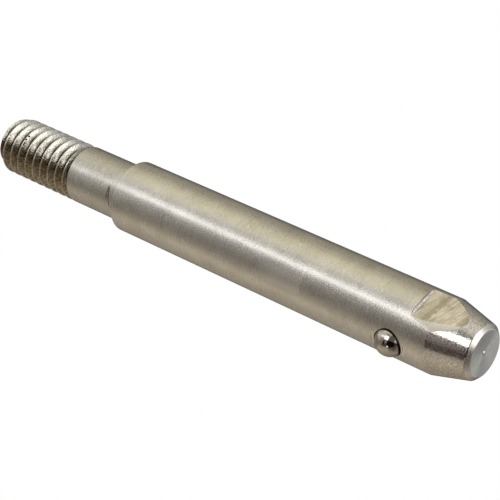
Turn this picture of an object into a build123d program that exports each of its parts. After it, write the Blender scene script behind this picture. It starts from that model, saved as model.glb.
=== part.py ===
"""Locating pin: a turned pin with a threaded stub, a milled flat and a spring-loaded detent ball.

The pin's axis is +Z, from the flat end of the threaded stub (z = 0) up to the tip.
The detent ball faces +X. Sizes are in millimetres and angles in degrees.
"""
import os
from math import cos, radians, sin, sqrt, tan

from build123d import *

# Turned pin, from the shoulder up
body_diameter = 9.525
body_length = 54.4
taper_length = 4.7
taper_end_diameter = 7.06
tip_chamfer_length = 0.5
end_face_diameter = 5.96
shoulder_edge_break = 0.08

# Threaded stub, from the shoulder down
stub_diameter = 7.74
stub_length = 22.1
shank_length = 8.9
thread_pitch = 1.411
thread_depth_share = 0.6134
thread_angle = 60.0
thread_start_turn = 115.0
thread_relief_width = 0.9
thread_relief_chamfer = 0.25
stub_end_diameter = 6.92
stub_chamfer_length = 0.95

# Flat milled beside the tip, with a shallow facet along its edge on the ball's side
flat_turn = -84.5
flat_length = 8.2
flat_depth = 0.64
flat_fall = 1.9
facet_turn = 21.3
facet_length = 8.2
facet_depth = 0.111
facet_fall = 4.0

# Detent ball and its cross bore
ball_below_tip = 10.22
ball_diameter = 3.8
ball_side_clearance = 0.05
ball_seat_clearance = 0.03
mouth_diameter = 3.76
mouth_depth = 0.19
mouth_run = 0.27
mouth_edge_diameter = 3.87
stake_ring_diameter = 4.56
stake_ring_width = 0.28
stake_ring_depth = 0.04
bore_depth = 6.7
drill_point_angle = 118.0

# Compression spring behind the ball
spring_wire_diameter = 0.35
spring_mean_diameter = 2.9
spring_turns = 5.0
spring_wire_sides = 8
spring_clearance = 0.03

# Radii and heights that follow from the sizes above
body_radius = body_diameter / 2
stub_radius = stub_diameter / 2
thread_depth = thread_depth_share * thread_pitch
root_radius = stub_radius - thread_depth
shoulder_z = stub_length
shank_start_z = shoulder_z - shank_length
relief_start_z = shank_start_z - thread_relief_width
tip_z = shoulder_z + body_length
taper_end_z = tip_z - tip_chamfer_length
taper_start_z = taper_end_z - taper_length

# The ball rests against the mouth of its bore, pushed out by the spring
ball_radius = ball_diameter / 2
bore_radius = ball_radius + ball_side_clearance
mouth_radius = mouth_diameter / 2
mouth_x = body_radius - mouth_depth
ball_x = mouth_x - sqrt((ball_radius + ball_seat_clearance) ** 2 - mouth_radius**2)
ball_z = tip_z - ball_below_tip
bore_floor_x = body_radius - bore_depth
drill_point_slope = radians(drill_point_angle / 2)
drill_point_x = bore_floor_x - bore_radius / tan(drill_point_slope)
beyond = body_diameter

# The spring's end coils lie on the drilled cone and round the back of the ball
coil_radius = spring_mean_diameter / 2
wire_radius = spring_wire_diameter / 2
cone_x = bore_floor_x - (bore_radius - coil_radius) / tan(drill_point_slope)
coil_start_x = cone_x + (wire_radius + spring_clearance) / sin(drill_point_slope)
coil_end_x = ball_x - sqrt((ball_radius + wire_radius + spring_clearance) ** 2 - coil_radius**2)
coil_span = coil_end_x - coil_start_x

os.makedirs("parts", exist_ok=True)


def cut_plane(turn, length, depth, fall):
    """Plane of a flat cut that ends at the tip, with its X across the pin and its Y towards the tip."""
    out = Vector(cos(radians(turn)), sin(radians(turn)), 0)
    across = Vector(-sin(radians(turn)), cos(radians(turn)), 0)
    lean = radians(fall)
    normal = out * cos(lean) + Vector(0, 0, 1) * sin(lean)
    origin = out * (body_radius - depth) + Vector(0, 0, tip_z - length)
    return Plane(origin=origin, x_dir=across, z_dir=normal)


# Helical groove of the thread, from below the stub's end to inside the relief
thread_lead_in = thread_pitch * 3 / 2
thread_run = relief_start_z + thread_lead_in + thread_relief_width / 5
with BuildLine() as thread_path:
    Helix(pitch=thread_pitch, height=thread_run, radius=root_radius, center=(0, 0, -thread_lead_in))
thread_start = Plane(
    origin=thread_path.line @ 0,
    x_dir=(1, 0, 0),
    z_dir=thread_path.line % 0,
)
with BuildPart() as thread_groove:
    with BuildSketch(thread_start):
        root_half = thread_pitch / 12
        groove_depth = 1.12 * thread_depth
        mouth_half = root_half + groove_depth * tan(radians(thread_angle / 2))
        with BuildLine():
            Polyline(
                (0, -root_half),
                (groove_depth, -mouth_half),
                (groove_depth, mouth_half),
                (0, root_half),
                close=True,
            )
        make_face()
    sweep(path=thread_path.line, is_frenet=True)

# Plain stub with the thread cut in it
with BuildPart() as threaded_stub:
    Cylinder(stub_radius, stub_length, align=(Align.CENTER, Align.CENTER, Align.MIN))
    add(thread_groove.part, mode=Mode.SUBTRACT)

# Turned pin: threaded stub, square shoulder, body, taper and tip
with BuildPart() as pin_body:
    add(Rotation(0, 0, thread_start_turn) * threaded_stub.part)

    # Chamfer of the stub's end
    with BuildSketch(Plane.XZ):
        with BuildLine():
            Polyline(
                (stub_end_diameter / 2, 0),
                (stub_radius, stub_chamfer_length),
                (body_radius, stub_chamfer_length),
                (body_radius, -stub_chamfer_length),
                (stub_end_diameter / 2, -stub_chamfer_length),
                close=True,
            )
        make_face()
    revolve(axis=Axis.Z, mode=Mode.SUBTRACT)

    # Relief between the thread and the shank
    with BuildSketch(Plane.XZ):
        with BuildLine():
            Polyline(
                (root_radius, shank_start_z),
                (root_radius, relief_start_z + thread_depth - thread_relief_chamfer),
                (stub_radius, relief_start_z - thread_relief_chamfer),
                (body_radius, relief_start_z - thread_relief_chamfer),
                (body_radius, shank_start_z),
                close=True,
            )
        make_face()
    revolve(axis=Axis.Z, mode=Mode.SUBTRACT)

    # Body above the square shoulder
    with BuildSketch(Plane.XZ):
        with BuildLine():
            Polyline(
                (0, shoulder_z),
                (body_radius - shoulder_edge_break, shoulder_z),
                (body_radius, shoulder_z + shoulder_edge_break),
                (body_radius, taper_start_z),
                (taper_end_diameter / 2, taper_end_z),
                (end_face_diameter / 2, tip_z),
                (0, tip_z),
                close=True,
            )
        make_face()
    revolve(axis=Axis.Z)

    # The flat runs out through the taper and the tip
    with BuildSketch(cut_plane(flat_turn, flat_length, flat_depth, flat_fall)):
        Rectangle(body_diameter, 2 * flat_length, align=(Align.CENTER, Align.MIN))
    extrude(amount=body_radius, mode=Mode.SUBTRACT)
    with BuildSketch(cut_plane(flat_turn + facet_turn, facet_length, facet_depth, facet_fall)):
        Rectangle(body_diameter, 2 * facet_length, align=(Align.CENTER, Align.MIN))
    extrude(amount=body_radius, mode=Mode.SUBTRACT)

    # Cross bore with a drilled point, closed in at its mouth round the ball
    with BuildSketch(Plane.XZ):
        with BuildLine():
            Polyline(
                (drill_point_x, ball_z),
                (bore_floor_x, ball_z + bore_radius),
                (mouth_x - mouth_run, ball_z + bore_radius),
                (mouth_x, ball_z + mouth_radius),
                (body_radius, ball_z + mouth_edge_diameter / 2),
                (beyond, ball_z + mouth_edge_diameter / 2),
                (beyond, ball_z),
                close=True,
            )
        make_face()
    revolve(axis=Axis((0, 0, ball_z), (1, 0, 0)), mode=Mode.SUBTRACT)

    # Shallow ring that the staking tool left round the mouth
    with BuildSketch(Plane.YZ.offset(body_radius - stake_ring_depth)):
        with Locations((0, ball_z)):
            Circle((stake_ring_diameter + stake_ring_width) / 2)
            Circle((stake_ring_diameter - stake_ring_width) / 2, mode=Mode.SUBTRACT)
    extrude(amount=beyond, mode=Mode.SUBTRACT)
pin_body.part.label = "pin_body"
export_step(pin_body.part, "parts/pin_body.step")

# Detent ball
with BuildPart() as detent_ball:
    with Locations((ball_x, 0, ball_z)):
        Sphere(ball_radius)
detent_ball.part.label = "detent_ball"
export_step(detent_ball.part, "parts/detent_ball.step")

# Compression spring between the bore's floor and the ball
with BuildLine() as spring_path:
    Helix(
        pitch=coil_span / spring_turns,
        height=coil_span,
        radius=coil_radius,
        center=(coil_start_x, 0, ball_z),
        direction=(1, 0, 0),
    )
with BuildPart() as detent_spring:
    with BuildSketch(Plane(origin=spring_path.line @ 0, z_dir=spring_path.line % 0)):
        RegularPolygon(wire_radius, spring_wire_sides)
    sweep(path=spring_path.line, is_frenet=True)
detent_spring.part.label = "detent_spring"
export_step(detent_spring.part, "parts/detent_spring.step")

ball_stand_out = ball_x + ball_radius - body_radius
print("ball centre", round(ball_x, 3), round(ball_z, 3), "stands out", round(ball_stand_out, 3))
print("spring", round(coil_start_x, 3), "to", round(coil_end_x, 3))
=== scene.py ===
"""Looks of the locating pin: turned pin, threaded stub, milled flat, polished detent ball and its spring.

Sizes are in millimetres until they become a mesh. The pin stands on its threaded stub along +Z, and the
ball faces +X.
"""
from math import cos, hypot, pi, radians, sin, tan

import bmesh
import bpy
from mathutils import Matrix, Vector


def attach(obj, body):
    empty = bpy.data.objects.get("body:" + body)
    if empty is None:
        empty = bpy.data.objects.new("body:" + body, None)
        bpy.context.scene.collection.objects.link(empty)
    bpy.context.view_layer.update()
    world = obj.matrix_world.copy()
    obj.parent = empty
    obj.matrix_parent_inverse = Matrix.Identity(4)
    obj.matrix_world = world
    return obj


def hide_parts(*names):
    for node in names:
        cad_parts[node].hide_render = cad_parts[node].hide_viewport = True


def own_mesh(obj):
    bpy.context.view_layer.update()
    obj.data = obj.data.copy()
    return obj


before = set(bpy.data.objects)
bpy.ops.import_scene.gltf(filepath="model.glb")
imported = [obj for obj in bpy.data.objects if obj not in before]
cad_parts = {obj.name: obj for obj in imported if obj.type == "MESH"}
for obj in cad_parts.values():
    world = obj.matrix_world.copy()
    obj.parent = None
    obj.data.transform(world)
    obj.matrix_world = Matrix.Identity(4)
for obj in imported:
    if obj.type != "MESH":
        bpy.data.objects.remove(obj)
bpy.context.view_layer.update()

MM = 0.001

# Turned sizes, the same as the source's
BODY_R = 4.7625
STUB_R = 3.87
STUB_LENGTH = 22.1
SHANK_LENGTH = 8.9
STUB_END_R, STUB_CHAMFER = 3.46, 0.95
TIP_Z = 76.5
TIP_CHAMFER = 0.5
TAPER = 4.7
TAPER_END_R = 3.53
FACE_R = 2.98
SHANK_Z = STUB_LENGTH - SHANK_LENGTH
TAPER_TOP_Z = TIP_Z - TIP_CHAMFER
TAPER_Z = TAPER_TOP_Z - TAPER

# Thread: a 60 degree groove whose root is a sixth of the pitch wide, and a crest an eighth of it wide
PITCH = 1.411
THREAD_DEPTH = 0.6134 * PITCH
THREAD_SLOPE = 30
ROOT_R = STUB_R - THREAD_DEPTH
ROOT_WIDTH = PITCH / 6
GROOVE_WIDTH = PITCH * 7 / 8
# How far the groove stands out of the skin, starts below the stub and runs past the shank's start
GROOVE_OVER = 0.1
THREAD_LEAD_IN = 1.78 * PITCH
THREAD_RUN_OUT = 0.1

# Neck between the thread and the shank: how far below the shank its slope starts and ends, and its radius
NECK_START, NECK_FLOOR = 0.62, 0.32
NECK_R = ROOT_R - 0.02
# How far the stub's blank reaches into the shank
BLANK_OVERLAP = 0.4

# End face: its flat rim, the dish inside it and the pip that the facing tool left in the middle
FACE_RIM, FACE_RIM_DROP = 0.12, 0.006
FACE_DISH = 0.12
PIP_R, PIP_HEIGHT = 0.36, 0.12
PIP_Z = TIP_Z - FACE_DISH

# Milled flat and the dressed edge beside it
FLAT_TURN, FLAT_LENGTH, FLAT_DEPTH, FLAT_FALL = -84.5, 8.2, 0.64, 1.9
FLAT_CORNER = 0.25
# Each dressed face: its turn, and its depth below the skin at these distances from the flat's start
DRESSED_AT = (0, 1.5, 3.0, 4.0, 5.0, 5.5, 6.0, 6.6, 12)
DRESSED_FACES = {
    -63.2: (0.055, 0.15, 0.265, 0.37, 0.565, 0.68, 0.775, 0.90, 2.0),
    -70.2: (0.180, 0.235, 0.405, 0.5135, 0.63, 0.6945, 0.77, 0.90, 2.0),
}
# Cutters: how wide, how long beyond the flat's start and how tall
CUTTER_WIDTH, CUTTER_LENGTH, CUTTER_HEIGHT = 2 * BODY_R, 12, 4

# Cross bore, detent ball and spring
BALL_R = 1.9
BALL_X = 4.136
BALL_Z = TIP_Z - 10.22
BORE_R = 1.95
BORE_FLOOR_X = BODY_R - 6.7
BORE_TOP_X = 4.3025
DRILL_SLOPE = 59
BORE_POINT_X = BORE_FLOOR_X - BORE_R / tan(radians(DRILL_SLOPE))
MOUTH_R, MOUTH_DEPTH, MOUTH_EDGE_R = 1.88, 0.19, 1.935
STAKE_RING_R, STAKE_RING_HALF, STAKE_RING_DEPTH = 2.28, 0.14, 0.08
SPRING_START_X, SPRING_END_X = -1.999, 2.61
COIL_R, WIRE_R, COIL_TURNS = 1.45, 0.175, 5.0
# Any place well outside the skin
OUTSIDE = 8

# Edge breaks: of the bore's mouth, the flat's start and the dressed edge
MOUTH_BREAK, FLAT_START_BREAK, DRESSED_BREAK = 0.08, 0.10, 0.05
# How far from the bore's axis the mouth's edge is broken, and where across its face the dressed edge is
MOUTH_BREAK_FROM, MOUTH_BREAK_TO = 1.9, 1.96
DRESSED_BREAK_FROM, DRESSED_BREAK_TO = 0.1, 2.5
# Degrees between two faces past which their edge can be broken, and past which it is shaded crisp
SHARP_EDGE, CRISP_EDGE = 8, 10

# Where a finish ends: how near a cut or the skin is on it, and how far inside the skin is below it
ON_CUT, ON_SKIN, BELOW_SKIN = 0.005, 0.003, 0.004
# How deep the mouth is closed in round the ball
MOUTH_REACH = 0.45
# How much the flat's broken edge faces up the pin, at least and at most, and its wall, at least
BREAK_FACES_UP, WALL_FACES_UP = (0.12, 0.97), 0.1
# Painted highlight on the end face's edge: how far it reaches below the tip and to each side, and the most it
# faces up
RIM_BELOW, RIM_BESIDE, RIM_FACES_UP = 0.07, 0.1, 0.985
# How far below the tip the end face is still faced, and how far inside its edge that starts
FACED_BELOW, FACED_INSIDE = 0.2, 0.05

# Fineness of the meshes: sides of what is round, and steps along a turn of a helix and round a corner
PIN_SIDES, CUTTER_SIDES, WIRE_SIDES = 256, 96, 12
THREAD_STEPS, SPRING_STEPS = 96, 48
EDGE_STEPS, CORNER_STEPS = 4, 6
BALL_SIDES, BALL_RINGS = 96, 64
FLOOR_R, FLOOR_SIDES = 2500, 64

# Outlines of the turned blanks, up the pin: radius, height, and how far the corner is eased
STUB_OUTLINE = [
    (0, 0, 0),
    (STUB_END_R, 0, 0.05),
    (STUB_R, STUB_CHAMFER, 0.06),
    (STUB_R, SHANK_Z - NECK_START, 0),
    (NECK_R, SHANK_Z - NECK_FLOOR, 0),
    (NECK_R, SHANK_Z + BLANK_OVERLAP, 0),
    (0, SHANK_Z + BLANK_OVERLAP, 0),
]
BODY_OUTLINE = [
    (0, SHANK_Z, 0),
    (STUB_R, SHANK_Z, 0.05),
    (STUB_R, STUB_LENGTH, 0.04),
    (BODY_R, STUB_LENGTH, 0.08),
    # These rings keep the body's faces from being too long for clean cuts
    *((BODY_R, height, 0) for height in (30, 40, 50, 60, 63)),
    (BODY_R, TAPER_Z, 0.10),
    (TAPER_END_R, TAPER_TOP_Z, 0.06),
    (FACE_R, TIP_Z, 0.09),
    (FACE_R - FACE_RIM, TIP_Z - FACE_RIM_DROP, 0),
    (PIP_R, PIP_Z, 0),
    *((PIP_R * cos(radians(a)), PIP_Z + PIP_HEIGHT * sin(radians(a)), 0) for a in (15, 30, 45, 60, 75)),
    (0, PIP_Z + PIP_HEIGHT, 0),
]


# Meshes

def mesh_object(name, bm):
    """A finished bmesh, drawn in millimetres, as an object in metres."""
    bmesh.ops.recalc_face_normals(bm, faces=bm.faces)
    mesh = bpy.data.meshes.new(name)
    bm.to_mesh(mesh)
    bm.free()
    mesh.transform(Matrix.Scale(MM, 4))
    made = bpy.data.objects.new(name, mesh)
    bpy.context.scene.collection.objects.link(made)
    return made


def turned(name, outline, sides=PIN_SIDES, place=Matrix.Identity(4)):
    """A turned shape from (radius, height) pairs, which start and end on the axis or else go round a ring."""
    bm = bmesh.new()
    rings = []
    for radius, height in outline:
        turns = [2 * pi * k / sides for k in range(sides if radius else 1)]
        corners = [Vector((radius * cos(turn), radius * sin(turn), height)) for turn in turns]
        rings.append([bm.verts.new(place @ corner) for corner in corners])
    following = rings[1:] if len(rings[0]) == 1 else rings[1:] + rings[:1]
    for low, high in zip(rings, following):
        for k in range(sides):
            n = (k + 1) % sides
            if len(low) == 1:
                bm.faces.new((low[0], high[n], high[k]))
            elif len(high) == 1:
                bm.faces.new((low[k], low[n], high[0]))
            else:
                bm.faces.new((low[k], low[n], high[n], high[k]))
    return mesh_object(name, bm)


def eased_corner(r0, z0, r1, z1, r2, z2, size):
    """Points of a small rounded corner at (r1, z1) between two straight runs."""
    before = Vector((r0 - r1, z0 - z1)).normalized() * size
    after = Vector((r2 - r1, z2 - z1)).normalized() * size
    corner = Vector((r1, z1))
    points = []
    for k in range(EDGE_STEPS + 1):
        t = k / EDGE_STEPS
        point = (corner + before) * (1 - t) ** 2 + corner * (2 * t * (1 - t)) + (corner + after) * t ** 2
        points.append((point.x, point.y))
    return points


def eased(outline):
    """The (radius, height) pairs of an outline, with its corners eased by the third number of each row."""
    made = []
    for i, (radius, height, size) in enumerate(outline):
        if size:
            made += eased_corner(*outline[i - 1][:2], radius, height, *outline[i + 1][:2], size)
        else:
            made.append((radius, height))
    return made


def mill_side(corner):
    """Side of an end mill's cut: a long box whose lower back edge has a corner radius."""
    turns = [radians(90 * k / CORNER_STEPS) for k in range(CORNER_STEPS + 1)]
    side = [(corner * (1 - cos(turn)), corner * (1 - sin(turn))) for turn in turns]
    return side + [(CUTTER_LENGTH, 0), (CUTTER_LENGTH, CUTTER_HEIGHT), (0, CUTTER_HEIGHT)]


def dresser_side(depths):
    """Side of the cut that leaves one dressed face, which curves down to the tip."""
    side = [(y, -depth) for y, depth in zip(DRESSED_AT, depths)]
    return side + [(CUTTER_LENGTH, CUTTER_HEIGHT), (0, CUTTER_HEIGHT)]


def cutter(name, plane, side):
    """A cutter that runs across a plane. Its side is in pairs: along the plane's Y, and above the plane."""
    bm = bmesh.new()
    ends = (-CUTTER_WIDTH / 2, CUTTER_WIDTH / 2)
    left, right = ([bm.verts.new(plane @ Vector((x, y, z))) for y, z in side] for x in ends)
    bm.faces.new(left)
    bm.faces.new(list(reversed(right)))
    for k in range(len(side)):
        n = (k + 1) % len(side)
        bm.faces.new((left[k], right[k], right[n], left[n]))
    return mesh_object(name, bm)


def cut_plane(turn, depth=0, fall=0):
    """The plane of a cut that ends at the tip: X across the pin, Y towards the tip, Z outwards."""
    out = Vector((cos(radians(turn)), sin(radians(turn)), 0))
    across = Vector((-sin(radians(turn)), cos(radians(turn)), 0))
    normal = out * cos(radians(fall)) + Vector((0, 0, 1)) * sin(radians(fall))
    up = normal.cross(across)
    origin = out * (BODY_R - depth) + Vector((0, 0, TIP_Z - FLAT_LENGTH))
    return Matrix.Translation(origin) @ Matrix((across, up, normal)).transposed().to_4x4()


def settle(piece):
    """Turns a piece's modifiers into plain mesh."""
    depsgraph = bpy.context.evaluated_depsgraph_get()
    depsgraph.update()
    mesh = bpy.data.meshes.new_from_object(piece.evaluated_get(depsgraph))
    piece.modifiers.clear()
    piece.data = mesh


def combine(piece, other, operation="DIFFERENCE"):
    """Takes the other shape out of the piece or adds it on, and drops the other."""
    step = piece.modifiers.new("combine", "BOOLEAN")
    step.operation = operation
    step.solver = "EXACT"
    step.object = other
    settle(piece)
    bpy.data.objects.remove(other)


def ease(piece, is_there, size):
    """Breaks the sharp edges whose two ends pass the test, in millimetres."""
    bm = bmesh.new()
    bm.from_mesh(piece.data)
    sharp = [
        edge for edge in bm.edges
        if edge.is_manifold and edge.calc_face_angle() > radians(SHARP_EDGE)
        and all(is_there(v.co / MM) for v in edge.verts)
    ]
    bmesh.ops.bevel(
        bm, geom=sharp, offset=size * MM, segments=2, profile=0.6, affect="EDGES", clamp_overlap=True)
    bm.to_mesh(piece.data)
    bm.free()


def smooth(piece):
    """Smooth shading, with the corners kept crisp."""
    piece.data.shade_smooth()
    piece.data.set_sharp_from_angle(angle=radians(CRISP_EDGE))


# Node trees

class Nodes:
    """Short ways to build the trees of the finishes, the surround, the thread and the spring."""

    def __init__(self, tree):
        self.tree = tree

    def put(self, socket, value):
        """Sets a socket to a number, a colour or a material, or joins it to another node's socket."""
        if isinstance(value, bpy.types.NodeSocket):
            self.tree.links.new(value, socket)
        elif isinstance(value, tuple) and socket.type == "RGBA":
            socket.default_value = (*value, 1)
        else:
            socket.default_value = value

    def add(self, kind, inputs, output=0, **settings):
        """Adds a node with its settings and inputs, and gives back one of its outputs."""
        node = self.tree.nodes.new(kind)
        for setting, value in settings.items():
            setattr(node, setting, value)
        for label, value in inputs.items():
            self.put(node.inputs[label], value)
        return node.outputs[output]

    def math(self, operation, a, b=0.0):
        return self.add("ShaderNodeMath", {0: a, 1: b}, operation=operation)

    def times(self, first, *others):
        """The product of all the values."""
        for other in others:
            first = self.math("MULTIPLY", first, other)
        return first

    def vector(self, operation, a, b=(0.0, 0.0, 0.0)):
        second = "Scale" if operation == "SCALE" else 1
        output = "Value" if operation in ("LENGTH", "DISTANCE") else "Vector"
        return self.add("ShaderNodeVectorMath", {0: a, second: b}, output, operation=operation)

    def apart(self, vector):
        """The X, Y and Z of a vector."""
        return tuple(self.add("ShaderNodeSeparateXYZ", {"Vector": vector}).node.outputs)

    def place(self):
        """The object's own coordinates in millimetres."""
        return self.vector("SCALE", self.add("ShaderNodeTexCoord", {}, "Object"), 1 / MM)

    def from_axis(self, place):
        """How far a place is from the pin's own axis."""
        return self.vector("LENGTH", self.vector("MULTIPLY", place, (1.0, 1.0, 0.0)))

    def noise(self, vector, scale, detail=2.0, roughness=0.5):
        inputs = {"Vector": vector, "Scale": scale, "Detail": detail, "Roughness": roughness}
        return self.add("ShaderNodeTexNoise", inputs, "Fac")

    def uneven(self, place, scale, detail, spread):
        """Noise that is spread evenly to both sides of 0."""
        return self.times(self.math("SUBTRACT", self.noise(place, scale, detail), 0.5), spread)

    def carry(self, value, low, high, to_low, to_high, interpolation="LINEAR"):
        """Carries a value over from one range to another, and holds it at the ends."""
        inputs = {"Value": value, "From Min": low, "From Max": high, "To Min": to_low, "To Max": to_high}
        return self.add("ShaderNodeMapRange", inputs, "Result", interpolation_type=interpolation)

    def fade(self, value, low, high):
        """Smoothly 0 at low and 1 at high."""
        return self.carry(value, low, high, 0.0, 1.0, "SMOOTHSTEP")

    def window(self, value, low, high, soft_low, soft_high=None):
        """1 between low and high, falling to 0 over its softness at each end."""
        soft_high = soft_low if soft_high is None else soft_high
        rise = self.fade(value, low - soft_low / 2, low + soft_low / 2)
        return self.times(rise, self.fade(value, high + soft_high / 2, high - soft_high / 2))

    def mix(self, share, a, b):
        """Colour a where the share is 0, and colour b where it is 1."""
        return self.add("ShaderNodeMix", {0: share, 6: a, 7: b}, 2, data_type="RGBA")


# Finishes of the steel

def steel(name, colour, roughness, marks, mark_height, speckle, speckle_height, tone_spread=0.12,
          grain_spread=0.0, mark_turn=0, ring_gloss=0.0):
    """Machined stainless steel.

    Roughness is its middle value and its spread. Marks are how often the tool's marks come in a millimetre
    along X, Y and Z, turned about Y by mark_turn degrees, and speckle is how often the grain comes. The
    heights are their relief. With ring_gloss the marks are rings round the axis, and the gloss is drawn out
    along them.
    """
    made = bpy.data.materials.new(name)
    made.use_nodes = True
    nodes = Nodes(made.node_tree)
    shader = made.node_tree.nodes["Principled BSDF"]
    shader.inputs["Metallic"].default_value = 1.0
    shader.inputs["Specular IOR Level"].default_value = 0.5

    place = nodes.place()
    if ring_gloss:
        outwards = nodes.times(nodes.from_axis(place), marks[0])
        along_marks = nodes.add("ShaderNodeCombineXYZ", {"X": outwards})
        tangent = nodes.add("ShaderNodeTangent", {}, direction_type="RADIAL", axis="Z")
        shader.inputs["Anisotropic"].default_value = ring_gloss
        nodes.put(shader.inputs["Tangent"], tangent)
    else:
        turning = {"Vector": place, "Rotation": (0, radians(mark_turn), 0)}
        along_marks = nodes.vector("MULTIPLY", nodes.add("ShaderNodeMapping", turning), marks)
    tool_marks = nodes.noise(along_marks, 1.0, detail=3.0, roughness=0.65)
    grain = nodes.noise(place, speckle)
    clouds = nodes.noise(place, 0.35, detail=3.0)

    shade = nodes.carry(nodes.math("ADD", tool_marks, clouds), 0.7, 1.3, 1 - tone_spread, 1 + tone_spread)
    speck = nodes.carry(grain, 0.3, 0.7, 1 - grain_spread, 1 + grain_spread)
    nodes.put(shader.inputs["Base Color"], nodes.vector("SCALE", colour, nodes.times(shade, speck)))
    middle, spread = roughness
    nodes.put(shader.inputs["Roughness"], nodes.carry(grain, 0.3, 0.7, middle - spread, middle + spread))

    relief = {"Strength": 1.0, "Distance": mark_height * MM, "Height": tool_marks}
    fine = {"Strength": 1.0, "Distance": speckle_height * MM, "Height": grain}
    fine["Normal"] = nodes.add("ShaderNodeBump", relief)
    nodes.put(shader.inputs["Normal"], nodes.add("ShaderNodeBump", fine))
    return made


def tone_over(finish, nodes, share, tone):
    """Lays a tone over a finish's colour, by a share from 0 to 1."""
    colour = finish.node_tree.nodes["Principled BSDF"].inputs["Base Color"]
    nodes.put(colour, nodes.mix(share, colour.links[0].from_socket, tone))


def painted_shade_near_axis(finish, outside, inside, tone):
    """Painted shade between two radii from the pin's own axis, fading outwards."""
    nodes = Nodes(finish.node_tree)
    tone_over(finish, nodes, nodes.fade(nodes.from_axis(nodes.place()), outside, inside), tone)


def darker_brown_on_ball_side(finish, start_x, full_x, crest_wait, thin, thick):
    """Darker brown tone on the thread's side below the ball. It reaches the rubbed crests after the flanks.
    """
    nodes = Nodes(finish.node_tree)
    place = nodes.place()
    x, y, z = nodes.apart(place)
    on_crest = nodes.times(nodes.fade(nodes.from_axis(place), STUB_R - 0.14, STUB_R - 0.04), crest_wait)
    edge = nodes.math("ADD", x, nodes.uneven(place, 1.6, detail=3.0, spread=1.6))
    reach = nodes.math("SUBTRACT", edge, on_crest)
    mottled_brown = nodes.mix(nodes.fade(nodes.noise(place, 3.2, detail=3.0), 0.42, 0.60), thick, thin)
    tone_over(finish, nodes, nodes.fade(reach, start_x, full_x), mottled_brown)


def darker_band(finish, low_z, high_z, soft, tone, strength):
    """A darker band painted across the flat, a little aslant and uneven along its edges."""
    nodes = Nodes(finish.node_tree)
    place = nodes.place()
    x, y, z = nodes.apart(place)
    ragged = nodes.uneven(place, 1.8, detail=3.0, spread=1.1)
    height = nodes.math("ADD", nodes.math("ADD", z, ragged), nodes.times(x, 0.10))
    tone_over(finish, nodes, nodes.times(nodes.window(height, low_z, high_z, soft), strength), tone)


def rubbed_patch(finish, fade_in, fade_out, low_y, high_y, soft, tone, strength):
    """A patch on the ball's side that handling has left brighter, between two fades along the pin."""
    nodes = Nodes(finish.node_tree)
    x, y, z = nodes.apart(nodes.place())
    along = nodes.times(nodes.fade(z, *fade_in), nodes.fade(z, *fade_out))
    across = nodes.times(nodes.window(y, low_y, high_y, soft), nodes.fade(x, 0.0, 0.5))
    tone_over(finish, nodes, nodes.times(along, across, strength), tone)


def scratch_round(finish, height, width, low_y, high_y, lean, tone):
    """A thin broken turning scratch part of the way round, on the ball's side."""
    nodes = Nodes(finish.node_tree)
    place = nodes.place()
    x, y, z = nodes.apart(place)
    level = nodes.math("ADD", z, nodes.times(y, lean))
    line = nodes.window(level, height - width / 2, height + width / 2, width)
    side = nodes.times(nodes.window(y, low_y, high_y, 0.5), nodes.fade(x, 0.0, 0.5))
    broken = nodes.fade(nodes.noise(place, 3.0), 0.28, 0.50)
    tone_over(finish, nodes, nodes.times(line, side, broken), tone)


def scuffs(finish, seed, low, high, strength, tone):
    """Sparse short rub marks that run round the pin, each a little longer than it is wide."""
    nodes = Nodes(finish.node_tree)
    place = nodes.vector("ADD", nodes.place(), (seed, seed, seed))
    drawn_out = nodes.vector("MULTIPLY", place, (1.3, 1.3, 5.5))
    marks = nodes.fade(nodes.noise(drawn_out, 1.0, detail=1.0), low, high)
    where = nodes.fade(nodes.noise(place, 0.45), 0.42, 0.60)
    tone_over(finish, nodes, nodes.times(marks, where, strength), tone)


def pits(finish, places, tone):
    """Small dark pits, each a centre and a radius, with ragged edges."""
    nodes = Nodes(finish.node_tree)
    place = nodes.place()
    ragged = nodes.uneven(place, 6.0, detail=2.0, spread=0.25)
    for centre, radius in places:
        away = nodes.math("ADD", nodes.vector("DISTANCE", place, centre), ragged)
        tone_over(finish, nodes, nodes.fade(away, radius, 0.5 * radius), tone)


GROUND = steel(
    "ground_steel_body", (0.73, 0.71, 0.675), roughness=(0.23, 0.06), marks=(0.5, 0.5, 9.0),
    mark_height=0.003, speckle=5.5, speckle_height=0.013, tone_spread=0.11, grain_spread=0.10)
SHANK = steel(
    "turned_steel_shank", (0.68, 0.66, 0.62), roughness=(0.25, 0.06), marks=(0.5, 0.5, 9.0),
    mark_height=0.004, speckle=5.5, speckle_height=0.018, tone_spread=0.12, grain_spread=0.13)
THREAD = steel(
    "cut_thread_steel", (0.74, 0.72, 0.67), roughness=(0.16, 0.07), marks=(1.2, 1.2, 4.0),
    mark_height=0.014, speckle=4.5, speckle_height=0.045, tone_spread=0.35)
TAPERED = steel(
    "polished_taper_steel", (0.72, 0.70, 0.655), roughness=(0.125, 0.05), marks=(0.8, 0.8, 7.0),
    mark_height=0.003, speckle=5.5, speckle_height=0.010, tone_spread=0.12, grain_spread=0.34)
MILLED = steel(
    "milled_flat_steel", (0.745, 0.695, 0.625), roughness=(0.24, 0.05), marks=(0.3, 0.3, 3.8),
    mark_turn=-14, mark_height=0.03, speckle=4.2, speckle_height=0.02, tone_spread=0.40, grain_spread=0.13)
FACED = steel(
    "faced_end_steel", (0.80, 0.80, 0.79), roughness=(0.33, 0.05), marks=(5.0, 0.0, 0.0), mark_height=0.003,
    speckle=4.0, speckle_height=0.006, tone_spread=0.13, grain_spread=0.05, ring_gloss=0.78)
# The bore's steel is near black: painted shade in the recess, which the ball also shows round its edge
BORED = steel(
    "drilled_bore_painted_shade", (0.05, 0.047, 0.042), roughness=(0.45, 0.05), marks=(6.0, 0.5, 0.5),
    mark_height=0.004, speckle=5.0, speckle_height=0.002)
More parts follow.
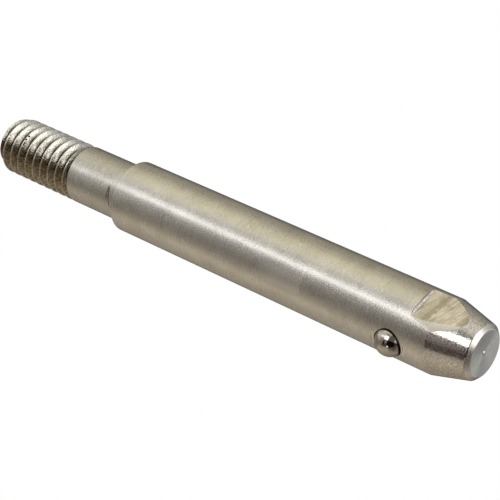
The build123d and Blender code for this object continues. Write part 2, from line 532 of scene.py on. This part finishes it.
# The dressed edge's steel is lighter than the body's: its own finish with a painted highlight
DRESSED = steel(
    "dressed_edge_steel", (0.96, 0.92, 0.84), roughness=(0.20, 0.04), marks=(0.8, 0.8, 4.0),
    mark_height=0.003, speckle=5.0, speckle_height=0.004, tone_spread=0.10)
# Near-white steel for the flat's broken start edge, the end face's edge and the pip: painted highlight
PAINTED_HIGHLIGHT = steel(
    "steel_painted_highlight", (0.96, 0.93, 0.85), roughness=(0.16, 0.03), marks=(0.6, 0.6, 6.0),
    mark_height=0.002, speckle=6.0, speckle_height=0.004, tone_spread=0.08)
# Dark steel for the flat's upright wall: painted shade
SHADED_WALL = steel(
    "milled_wall_painted_shade", (0.34, 0.32, 0.28), roughness=(0.30, 0.04), marks=(0.6, 0.6, 6.0),
    mark_height=0.002, speckle=6.0, speckle_height=0.004, tone_spread=0.10)
# The tip chamfer's steel is near white: its turned finish with a painted highlight
CHAMFERED = steel(
    "turned_chamfer_steel", (0.96, 0.93, 0.87), roughness=(0.31, 0.04), marks=(0.8, 0.8, 9.0),
    mark_height=0.004, speckle=6.0, speckle_height=0.006, tone_spread=0.12, grain_spread=0.10)
STAKED = steel(
    "staked_ring_steel", (0.88, 0.86, 0.80), roughness=(0.18, 0.03), marks=(0.8, 0.8, 0.8),
    mark_height=0.002, speckle=6.0, speckle_height=0.006, tone_spread=0.10)
POLISHED = steel(
    "polished_ball_steel", (0.62, 0.58, 0.535), roughness=(0.07, 0.02), marks=(0.8, 0.8, 0.8),
    mark_height=0.0005, speckle=3.0, speckle_height=0.0005, tone_spread=0.05)
WIRE = steel(
    "spring_wire_steel", (0.52, 0.51, 0.49), roughness=(0.22, 0.04), marks=(3.0, 3.0, 3.0),
    mark_height=0.001, speckle=8.0, speckle_height=0.001)
PIN_FINISHES = [
    GROUND, SHANK, THREAD, TAPERED, MILLED, FACED, BORED, DRESSED, PAINTED_HIGHLIGHT, SHADED_WALL, CHAMFERED, STAKED,
]

# Painted shade round the ball where the mouth grips it and in the thread's root, and a darker brown tone over
# the thread's lower side
painted_shade_near_axis(POLISHED, BODY_R + 0.25, BODY_R + 0.17, (0.012, 0.011, 0.010))
painted_shade_near_axis(THREAD, ROOT_R + 0.44, ROOT_R + 0.12, (0.11, 0.10, 0.072))
darker_brown_on_ball_side(THREAD, 2.1, 3.0, 1.1, thin=(0.63, 0.550, 0.405), thick=(0.315, 0.271, 0.194))
pits(THREAD, [
    ((1.25, -3.60, 4.27), 0.22), ((1.82, -3.33, 4.14), 0.17), ((2.19, -3.10, 4.28), 0.20),
    ((1.29, -3.57, 3.10), 0.13), ((1.88, -3.29, 3.00), 0.12), ((2.0, -3.22, 6.09), 0.10),
    ((0.80, -3.75, 4.60), 0.12),
], tone=(0.05, 0.04, 0.045))

# Two bands of painted shade across the flat, and the flat's darker end at the tip
darker_band(MILLED, 69.85, 70.6, soft=0.5, tone=(0.42, 0.365, 0.29), strength=0.75)
darker_band(MILLED, 69.2, 69.9, soft=0.6, tone=(0.60, 0.54, 0.45), strength=0.5)
darker_band(MILLED, 73.8, 78.0, soft=1.3, tone=(0.46, 0.405, 0.32), strength=0.9)

# Handling wear on the body and the shank: dark and bright scuffs, a patch rubbed bright, and scratches
for worn in (GROUND, SHANK):
    scuffs(worn, 3.0, 0.60, 0.66, strength=0.42, tone=(0.36, 0.345, 0.315))
    scuffs(worn, 17.0, 0.61, 0.67, strength=0.70, tone=(0.95, 0.93, 0.88))
rubbed_patch(
    GROUND, (46.0, 49.5), (53.1, 52.95), -3.0, -1.2, soft=0.8, tone=(0.96, 0.945, 0.91), strength=0.9)
# Each of the shank's scratches: its height, where it starts and ends across the pin, and its lean
for height, low_y, high_y, lean in (
    (20.41, -2.75, -1.2, 0.0),
    (20.66, -2.70, -1.6, 0.0),
    (21.10, -2.75, -0.3, -0.22),
):
    scratch_round(SHANK, height, 0.12, low_y, high_y, lean, tone=(0.09, 0.085, 0.075))
scratch_round(GROUND, 30.9, 0.08, -3.3, -1.4, lean=0.0, tone=(0.34, 0.325, 0.30))
scratch_round(GROUND, 53.1, 0.13, -3.8, -1.4, lean=0.0, tone=(1.0, 0.99, 0.97))


# Geometry nodes of the thread and the spring

def new_tree(name, sizes):
    """A geometry node tree with named sizes: its nodes, what comes in by name, and its output node."""
    tree = bpy.data.node_groups.new(name, "GeometryNodeTree")
    tree.interface.new_socket("Geometry", in_out="INPUT", socket_type="NodeSocketGeometry")
    for size in sizes:
        tree.interface.new_socket(size, in_out="INPUT", socket_type="NodeSocketFloat")
    tree.interface.new_socket("Geometry", in_out="OUTPUT", socket_type="NodeSocketGeometry")
    return Nodes(tree), tree.nodes.new("NodeGroupInput").outputs, tree.nodes.new("NodeGroupOutput")


def run_tree(piece, tree, sizes):
    """Runs a tree on a piece with its sizes, and keeps the plain mesh that comes out."""
    step = piece.modifiers.new(tree.name, "NODES")
    step.node_group = tree
    for item in tree.interface.items_tree:
        if item.in_out == "INPUT" and item.name in sizes:
            step[item.identifier] = float(sizes[item.name])
    settle(piece)


def helix(nodes, radius, pitch, turns, steps):
    """A right-hand helix along +Z, with so many steps in a turn, whose normals stay radial."""
    spiral = nodes.add("GeometryNodeCurveSpiral", {
        "Resolution": steps, "Rotations": turns, "Start Radius": radius, "End Radius": radius,
        "Height": nodes.times(pitch, turns),
    })
    return nodes.add("GeometryNodeSetCurveNormal", {"Curve": spiral}, mode="Z_UP")


def finish_tree(nodes, output, mesh, material):
    """Ends a tree in Realize Instances and Set Material."""
    real = nodes.add("GeometryNodeRealizeInstances", {"Geometry": mesh})
    painted = nodes.add("GeometryNodeSetMaterial", {"Geometry": real, "Material": material})
    nodes.put(output.inputs["Geometry"], painted)
    return nodes.tree


def thread_cutting():
    """Cuts a right-hand thread into the turned blank, as a single-point tool leaves it."""
    sizes = ["Root Radius", "Pitch", "Turns", "Start Height", "Groove Depth", "Root Width", "Mouth Width"]
    nodes, given, output = new_tree("thread_cutting", sizes)
    path = helix(nodes, given["Root Radius"], given["Pitch"], given["Turns"], THREAD_STEPS)
    tool = nodes.add("GeometryNodeCurvePrimitiveQuadrilateral", {
        "Offset": 0.0, "Bottom Width": given["Root Width"], "Top Width": given["Mouth Width"],
        "Height": given["Groove Depth"],
    }, mode="TRAPEZOID")
    # The trapezoid is centred on the path, so it is moved out until its narrow side lies on the root
    out = nodes.add("ShaderNodeCombineXYZ", {"Y": nodes.times(given["Groove Depth"], 0.5)})
    tool = nodes.add("GeometryNodeTransform", {"Geometry": tool, "Translation": out})
    tool = nodes.add("GeometryNodeTransform", {"Geometry": tool, "Rotation": (0, 0, radians(90))})
    groove = nodes.add("GeometryNodeCurveToMesh", {"Curve": path, "Profile Curve": tool, "Fill Caps": True})
    lift = nodes.add("ShaderNodeCombineXYZ", {"Z": given["Start Height"]})
    groove = nodes.add("GeometryNodeTransform", {"Geometry": groove, "Translation": lift})
    meshes = {"Mesh 1": given["Geometry"], "Mesh 2": groove}
    threaded = nodes.add("GeometryNodeMeshBoolean", meshes, operation="DIFFERENCE", solver="EXACT")
    return finish_tree(nodes, output, threaded, THREAD)


def spring_winding():
    """Winds a compression spring of round wire."""
    nodes, given, output = new_tree("spring_winding", ["Coil Radius", "Pitch", "Turns", "Wire Radius"])
    path = helix(nodes, given["Coil Radius"], given["Pitch"], given["Turns"], SPRING_STEPS)
    section = {"Resolution": WIRE_SIDES, "Radius": given["Wire Radius"]}
    wire = nodes.add("GeometryNodeCurvePrimitiveCircle", section)
    coil = nodes.add("GeometryNodeCurveToMesh", {"Curve": path, "Profile Curve": wire, "Fill Caps": True})
    return finish_tree(nodes, output, coil, WIRE)


# The turned pin: its blanks, the thread, the flat and the cross bore

pin = turned("turned_pin", eased(BODY_OUTLINE))
stub = turned("threaded_stub", eased(STUB_OUTLINE))
run_tree(stub, thread_cutting(), {
    "Root Radius": ROOT_R * MM,
    "Pitch": PITCH * MM,
    "Turns": (SHANK_Z + THREAD_LEAD_IN + THREAD_RUN_OUT) / PITCH,
    "Start Height": -THREAD_LEAD_IN * MM,
    "Groove Depth": (THREAD_DEPTH + GROOVE_OVER) * MM,
    "Root Width": ROOT_WIDTH * MM,
    "Mouth Width": (GROOVE_WIDTH + 2 * GROOVE_OVER * tan(radians(THREAD_SLOPE))) * MM,
})
combine(pin, stub, "UNION")

flat = cut_plane(FLAT_TURN, FLAT_DEPTH, FLAT_FALL)
combine(pin, cutter("flat_cutter", flat, mill_side(FLAT_CORNER)))
for turn, depths in DRESSED_FACES.items():
    combine(pin, cutter("dressing_cutter", cut_plane(turn), dresser_side(depths)))

along_x = Matrix.Rotation(radians(90), 4, "Y")
along_bore = Matrix.Translation((0, 0, BALL_Z)) @ along_x
combine(pin, turned("bore_cutter", [
    (0, BORE_POINT_X),
    (BORE_R, BORE_FLOOR_X),
    (BORE_R, BORE_TOP_X),
    (MOUTH_R, BODY_R - MOUTH_DEPTH),
    (MOUTH_EDGE_R, BODY_R),
    (MOUTH_EDGE_R, OUTSIDE),
    (0, OUTSIDE),
], CUTTER_SIDES, along_bore))
combine(pin, turned("stake_cutter", [
    (STAKE_RING_R - STAKE_RING_HALF, BODY_R),
    (STAKE_RING_R - 0.5 * STAKE_RING_HALF, BODY_R - STAKE_RING_DEPTH),
    (STAKE_RING_R + 0.5 * STAKE_RING_HALF, BODY_R - STAKE_RING_DEPTH),
    (STAKE_RING_R + STAKE_RING_HALF, BODY_R),
    (STAKE_RING_R + STAKE_RING_HALF, OUTSIDE),
    (STAKE_RING_R - STAKE_RING_HALF, OUTSIDE),
], CUTTER_SIDES, along_bore))

# From the pin's own place to the place on each cut: across it, towards the tip and above it
to_flat = flat.inverted()
to_dressed = [(cut_plane(turn).inverted(), depths) for turn, depths in DRESSED_FACES.items()]


def from_bore(place):
    """How far a place is from the bore's axis."""
    return hypot(place.y, place.z - BALL_Z)


def on_skin(place):
    return abs(hypot(place.x, place.y) - BODY_R) < ON_SKIN


def at_mouth(place):
    """On the edge where the cross bore meets the pin's skin."""
    return on_skin(place) and place.x > 0 and MOUTH_BREAK_FROM < from_bore(place) < MOUTH_BREAK_TO


def at_flat_start(place):
    """On the edge where the flat's wall meets the pin's skin."""
    there = to_flat @ place
    return on_skin(place) and abs(there.y) < 0.01 and there.z > 0


def at_dressed_edge(place):
    """On the long edge where the dressed faces run out on the pin's skin, up to the taper."""
    there = to_dressed[0][0] @ place
    across = DRESSED_BREAK_FROM < there.x < DRESSED_BREAK_TO
    return on_skin(place) and 0 < there.y < FLAT_LENGTH - TAPER and across


ease(pin, at_mouth, MOUTH_BREAK)
ease(pin, at_flat_start, FLAT_START_BREAK)
ease(pin, at_dressed_edge, DRESSED_BREAK)


def flat_finish(place, normal, sunk):
    """The finish of a face of the milled flat, its wall or its dressed edge, and None elsewhere."""
    there = to_flat @ place
    if normal.dot(flat.to_3x3() @ Vector((0, 0, 1))) > 0.9999 and abs(there.z) < ON_CUT:
        return MILLED
    on_break = -FLAT_START_BREAK - 0.03 < there.y < ON_CUT and 0.001 < sunk < FLAT_START_BREAK + ON_CUT
    # The flat's broken start edge takes the painted highlight
    if on_break and there.z > 0 and BREAK_FACES_UP[0] < normal.z < BREAK_FACES_UP[1]:
        return PAINTED_HIGHLIGHT
    on_wall = -0.01 < there.y < FLAT_CORNER and there.z > -ON_CUT and sunk > 0.02
    # The wall above the corner radius takes the painted shade
    if on_wall and normal.z > WALL_FACES_UP:
        return SHADED_WALL if there.z > FLAT_CORNER else MILLED
    for to_face, depths in to_dressed:
        there = to_face @ place
        rows = list(zip(DRESSED_AT, depths))
        for (y0, depth0), (y1, depth1) in zip(rows, rows[1:]):
            depth = depth0 + (depth1 - depth0) * (there.y - y0) / (y1 - y0)
            if y0 - 0.001 < there.y < y1 + 0.001 and abs(there.z + depth) < 0.003:
                return DRESSED
    return None


# The finishes of the turned faces above these heights, from the tip down to the thread
TURNED_FINISHES = [
    (TAPER_TOP_Z + 0.03, CHAMFERED),
    (TAPER_Z + 0.05, TAPERED),
    (STUB_LENGTH, GROUND),
    (SHANK_Z - 0.01, SHANK),
]


def finish_of(place, normal):
    """The finish of a face of the pin, from its place in millimetres and its direction."""
    radius = hypot(place.x, place.y)
    sunk = BODY_R - radius
    bore_r = BORE_R + 0.01 if sunk > MOUTH_REACH else MOUTH_EDGE_R - 0.003
    if place.x > BORE_POINT_X - 0.1 and from_bore(place) < bore_r and sunk > BELOW_SKIN:
        return BORED
    if place.x > 0 and abs(from_bore(place) - STAKE_RING_R) < STAKE_RING_HALF + 0.01 and sunk > BELOW_SKIN:
        return STAKED
    on_flat = flat_finish(place, normal, sunk)
    if on_flat:
        return on_flat
    # The end face's edge and the pip take the painted highlight
    if place.z > TIP_Z - RIM_BELOW and abs(radius - FACE_R) < RIM_BESIDE and normal.z < RIM_FACES_UP:
        return PAINTED_HIGHLIGHT
    if place.z > TIP_Z - FACED_BELOW and radius < FACE_R - FACED_INSIDE:
        return PAINTED_HIGHLIGHT if radius < PIP_R else FACED
    for height, turned_finish in TURNED_FINISHES:
        if place.z > height:
            return turned_finish
    return THREAD


for finish in PIN_FINISHES:
    if finish.name not in pin.data.materials:
        pin.data.materials.append(finish)
order = {made.name: i for i, made in enumerate(pin.data.materials) if made}
for face in pin.data.polygons:
    face.material_index = order[finish_of(face.center / MM, face.normal).name]
smooth(pin)

# The ball and the spring behind it

bm = bmesh.new()
bmesh.ops.create_uvsphere(bm, u_segments=BALL_SIDES, v_segments=BALL_RINGS, radius=BALL_R)
bmesh.ops.transform(bm, matrix=along_bore @ Matrix.Translation((0, 0, BALL_X)), verts=bm.verts)
ball = mesh_object("detent_ball_polished", bm)
ball.data.materials.append(POLISHED)
ball.data.shade_smooth()

spring = mesh_object("detent_spring_coil", bmesh.new())
run_tree(spring, spring_winding(), {
    "Coil Radius": COIL_R * MM,
    "Pitch": (SPRING_END_X - SPRING_START_X) / COIL_TURNS * MM,
    "Turns": COIL_TURNS,
    "Wire Radius": WIRE_R * MM,
})
spring.data.transform(Matrix.Translation((SPRING_START_X * MM, 0, BALL_Z * MM)) @ along_x)
spring.data.shade_smooth()

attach(pin, "pin")
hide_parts("pin_body")
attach(ball, "ball")
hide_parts("detent_ball")
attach(spring, "pin")
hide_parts("detent_spring")
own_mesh(spring)

# Floor: plain white to the camera, and nothing to the steel

floor_bm = bmesh.new()
bmesh.ops.create_circle(floor_bm, cap_ends=True, segments=FLOOR_SIDES, radius=FLOOR_R)
floor = mesh_object("floor", floor_bm)
paper = bpy.data.materials.new("plain_white_floor")
paper.use_nodes = True
paper.node_tree.nodes.clear()
paper_nodes = Nodes(paper.node_tree)
paper_out = paper.node_tree.nodes.new("ShaderNodeOutputMaterial")
white = paper_nodes.add("ShaderNodeEmission", {"Color": (1.0, 1.0, 1.0)})
paper_nodes.put(paper_out.inputs["Surface"], white)
floor.data.materials.append(paper)
floor.visible_glossy = False
floor.visible_diffuse = False
floor.visible_shadow = False

# Surround: turns are in degrees round the pin, from -90 straight behind it, by 90 in front of it, to 270
BACK_TURN = -90
FRONT_TURN = 138.2
FLOOR_TONES = [
    (-90, (0.36, 0.35, 0.32)), (-43, (0.47, 0.44, 0.38)), (42, (0.57, 0.55, 0.50)),
    (75, (0.85, 0.83, 0.78)), (99, (0.62, 0.60, 0.56)), (130, (0.34, 0.32, 0.28)),
    (150, (0.20, 0.185, 0.16)), (180, (0.25, 0.23, 0.19)), (214, (0.26, 0.24, 0.20)),
    (250, (0.28, 0.26, 0.23)), (270, (0.36, 0.35, 0.32)),
]
LOW_TONES = [
    (-90, (0.03, 0.03, 0.03)), (-62, (0.13, 0.125, 0.11)), (-40, (0.32, 0.29, 0.235)),
    (-15, (0.39, 0.36, 0.275)), (20, (0.77, 0.72, 0.53)), (42, (0.82, 0.78, 0.63)),
    (62, (0.57, 0.555, 0.52)), (72, (0.90, 0.89, 0.86)), (80, (1.75, 1.74, 1.69)), (89, (0.62, 0.60, 0.58)),
    (99, (0.36, 0.345, 0.33)), (116, (0.26, 0.245, 0.215)), (133, (0.22, 0.20, 0.175)),
    (152, (0.31, 0.275, 0.22)), (178, (0.53, 0.465, 0.36)), (205, (0.40, 0.355, 0.285)),
    (244, (0.29, 0.26, 0.215)), (258, (0.03, 0.03, 0.03)), (270, (0.03, 0.03, 0.03)),
]
MIDDLE_TONES = [
    (-90, (0.04, 0.04, 0.04)), (-60, (0.18, 0.18, 0.17)), (-20, (0.42, 0.39, 0.34)),
    (16, (0.76, 0.72, 0.63)), (36, (0.80, 0.77, 0.70)), (48, (0.62, 0.59, 0.54)), (61, (0.30, 0.285, 0.27)),
    (75, (0.20, 0.20, 0.19)), (100, (0.16, 0.15, 0.14)), (150, (0.38, 0.34, 0.28)),
    (168, (0.50, 0.43, 0.345)), (190, (0.42, 0.355, 0.275)), (212, (0.36, 0.30, 0.23)),
    (240, (0.24, 0.21, 0.17)), (264, (0.04, 0.04, 0.04)), (270, (0.04, 0.04, 0.04)),
]
HIGH_TONES = [
    (-90, (0.46, 0.455, 0.44)), (-76, (0.58, 0.575, 0.56)), (-40, (0.42, 0.415, 0.40)),
    (10, (0.30, 0.29, 0.28)), (56, (0.21, 0.20, 0.19)), (72, (0.15, 0.14, 0.14)), (86, (0.06, 0.05, 0.05)),
    (150, (0.10, 0.09, 0.08)), (180, (0.30, 0.27, 0.23)), (205, (0.34, 0.31, 0.26)),
    (225, (0.34, 0.31, 0.26)), (256, (0.28, 0.26, 0.235)), (270, (0.46, 0.455, 0.44)),
]
TOP_TONES = [
    (-90, (0.36, 0.355, 0.345)), (-74, (0.42, 0.415, 0.40)), (-50, (0.32, 0.32, 0.31)),
    (-20, (0.70, 0.69, 0.66)), (5, (1.65, 1.64, 1.60)), (25, (2.2, 2.2, 2.15)), (45, (2.1, 2.1, 2.05)),
    (66, (1.00, 0.97, 0.93)), (86, (0.35, 0.34, 0.32)), (108, (0.035, 0.03, 0.028)),
    (150, (0.09, 0.08, 0.065)), (180, (0.12, 0.105, 0.085)), (206, (0.24, 0.21, 0.17)),
    (230, (0.24, 0.22, 0.18)), (256, (0.24, 0.225, 0.21)), (270, (0.36, 0.355, 0.345)),
]
# Each level of the walls above the lowest: the rises between which it takes over, and its tones
WALL_LEVELS = [(-52, -42, LOW_TONES), (-24, -8, MIDDLE_TONES), (12, 26, HIGH_TONES), (32, 44, TOP_TONES)]
# Each card: turns from and to, rises from and to, softness at its sides, softness above and below, tone
CARDS = [
    ((52, 98), (16, 54), (8, 8), 6, (0.15, 0.12, 0.11)),
    ((98, 144), (-24, 54), (6, 5), 10, (0.29, 0.25, 0.235)),
    ((117, 144), (-24, 54), (26, 5), 10, (0.088, 0.068, 0.061)),
    ((104, 135), (-20, -8), (6, 6), 4, (0.020, 0.017, 0.015)),
    ((93, 146), (8, 62), (6, 6), 4, (0.008, 0.004, 0.003)),
    ((69, 94.5), (-17, 9), (4, 6), 5, (2.9, 2.85, 2.75)),
    ((134, 144), (10, 20), (4, 4), 4, (1.4, 1.35, 1.25)),
]


def wall(nodes, turn, tones):
    """One level of the walls: its tones at their turns, and a smooth run between them."""
    colour = nodes.add("ShaderNodeValToRGB", {"Fac": turn})
    stops = colour.node.color_ramp.elements
    stops.remove(stops[0])
    for i, (at, tone) in enumerate(tones):
        spot = (at - BACK_TURN) / 360
        stop = stops.new(spot) if i else stops[0]
        stop.position = spot
        stop.color = (*tone, 1)
    return colour


def hang_surround():
    """Soft studio surround for the steel: beige walls with light and dark cards, white to the camera."""
    world = bpy.data.worlds.new("studio_surround")
    bpy.context.scene.world = world
    world.use_nodes = True
    world.node_tree.nodes.clear()
    nodes = Nodes(world.node_tree)
    x, y, z = nodes.apart(nodes.add("ShaderNodeTexCoord", {}, "Generated"))
    ahead = nodes.math("ADD", nodes.math("ARCTAN2", y, x), radians(FRONT_TURN - BACK_TURN + 360))
    turn = nodes.math("FRACT", nodes.math("DIVIDE", ahead, 2 * pi))
    rise = nodes.math("ARCSINE", z)
    tones = wall(nodes, turn, FLOOR_TONES)
    for low, high, level in WALL_LEVELS:
        tones = nodes.mix(nodes.fade(rise, radians(low), radians(high)), tones, wall(nodes, turn, level))
    for turns, rises, soft_turns, soft_rise, tone in CARDS:
        first, last = ((at - BACK_TURN) / 360 for at in turns)
        across = nodes.window(turn, first, last, *(soft / 360 for soft in soft_turns))
        along = nodes.window(rise, *(radians(at) for at in rises), radians(soft_rise))
        tones = nodes.mix(nodes.times(across, along), tones, tone)
    seen = nodes.mix(nodes.add("ShaderNodeLightPath", {}, "Is Camera Ray"), tones, (1.0, 1.0, 1.0))
    out = world.node_tree.nodes.new("ShaderNodeOutputWorld")
    nodes.put(out.inputs["Surface"], nodes.add("ShaderNodeBackground", {"Color": seen}))


hang_surround()

# Camera, solved from the pin's outline and rings in the photo
CAMERA_LENS, CAMERA_SENSOR = 126.74, 36.0
CAMERA_NEAREST, CAMERA_FARTHEST = 0.005, 50.0
CAMERA_RIGHT = Vector((-0.64074636, 0.10039786, 0.76115988))
CAMERA_UP = Vector((-0.52978193, -0.77537209, -0.34369933))
CAMERA_BACK = Vector((0.55567545, -0.62347285, 0.55000582))
CAMERA_PLACE = Vector((121.385, -135.848, 161.690))

camera_data = bpy.data.cameras.new("camera")
camera_data.sensor_width = CAMERA_SENSOR
camera_data.lens = CAMERA_LENS
camera_data.clip_start = CAMERA_NEAREST
camera_data.clip_end = CAMERA_FARTHEST
camera = bpy.data.objects.new("camera", camera_data)
bpy.context.scene.collection.objects.link(camera)
camera.matrix_world = (
    Matrix.Translation(CAMERA_PLACE * MM)
    @ Matrix((CAMERA_RIGHT, CAMERA_UP, CAMERA_BACK)).transposed().to_4x4()
)
bpy.context.scene.camera = camera
bpy.context.scene.view_settings.view_transform = "Standard"
bpy.context.scene.view_settings.look = "None"
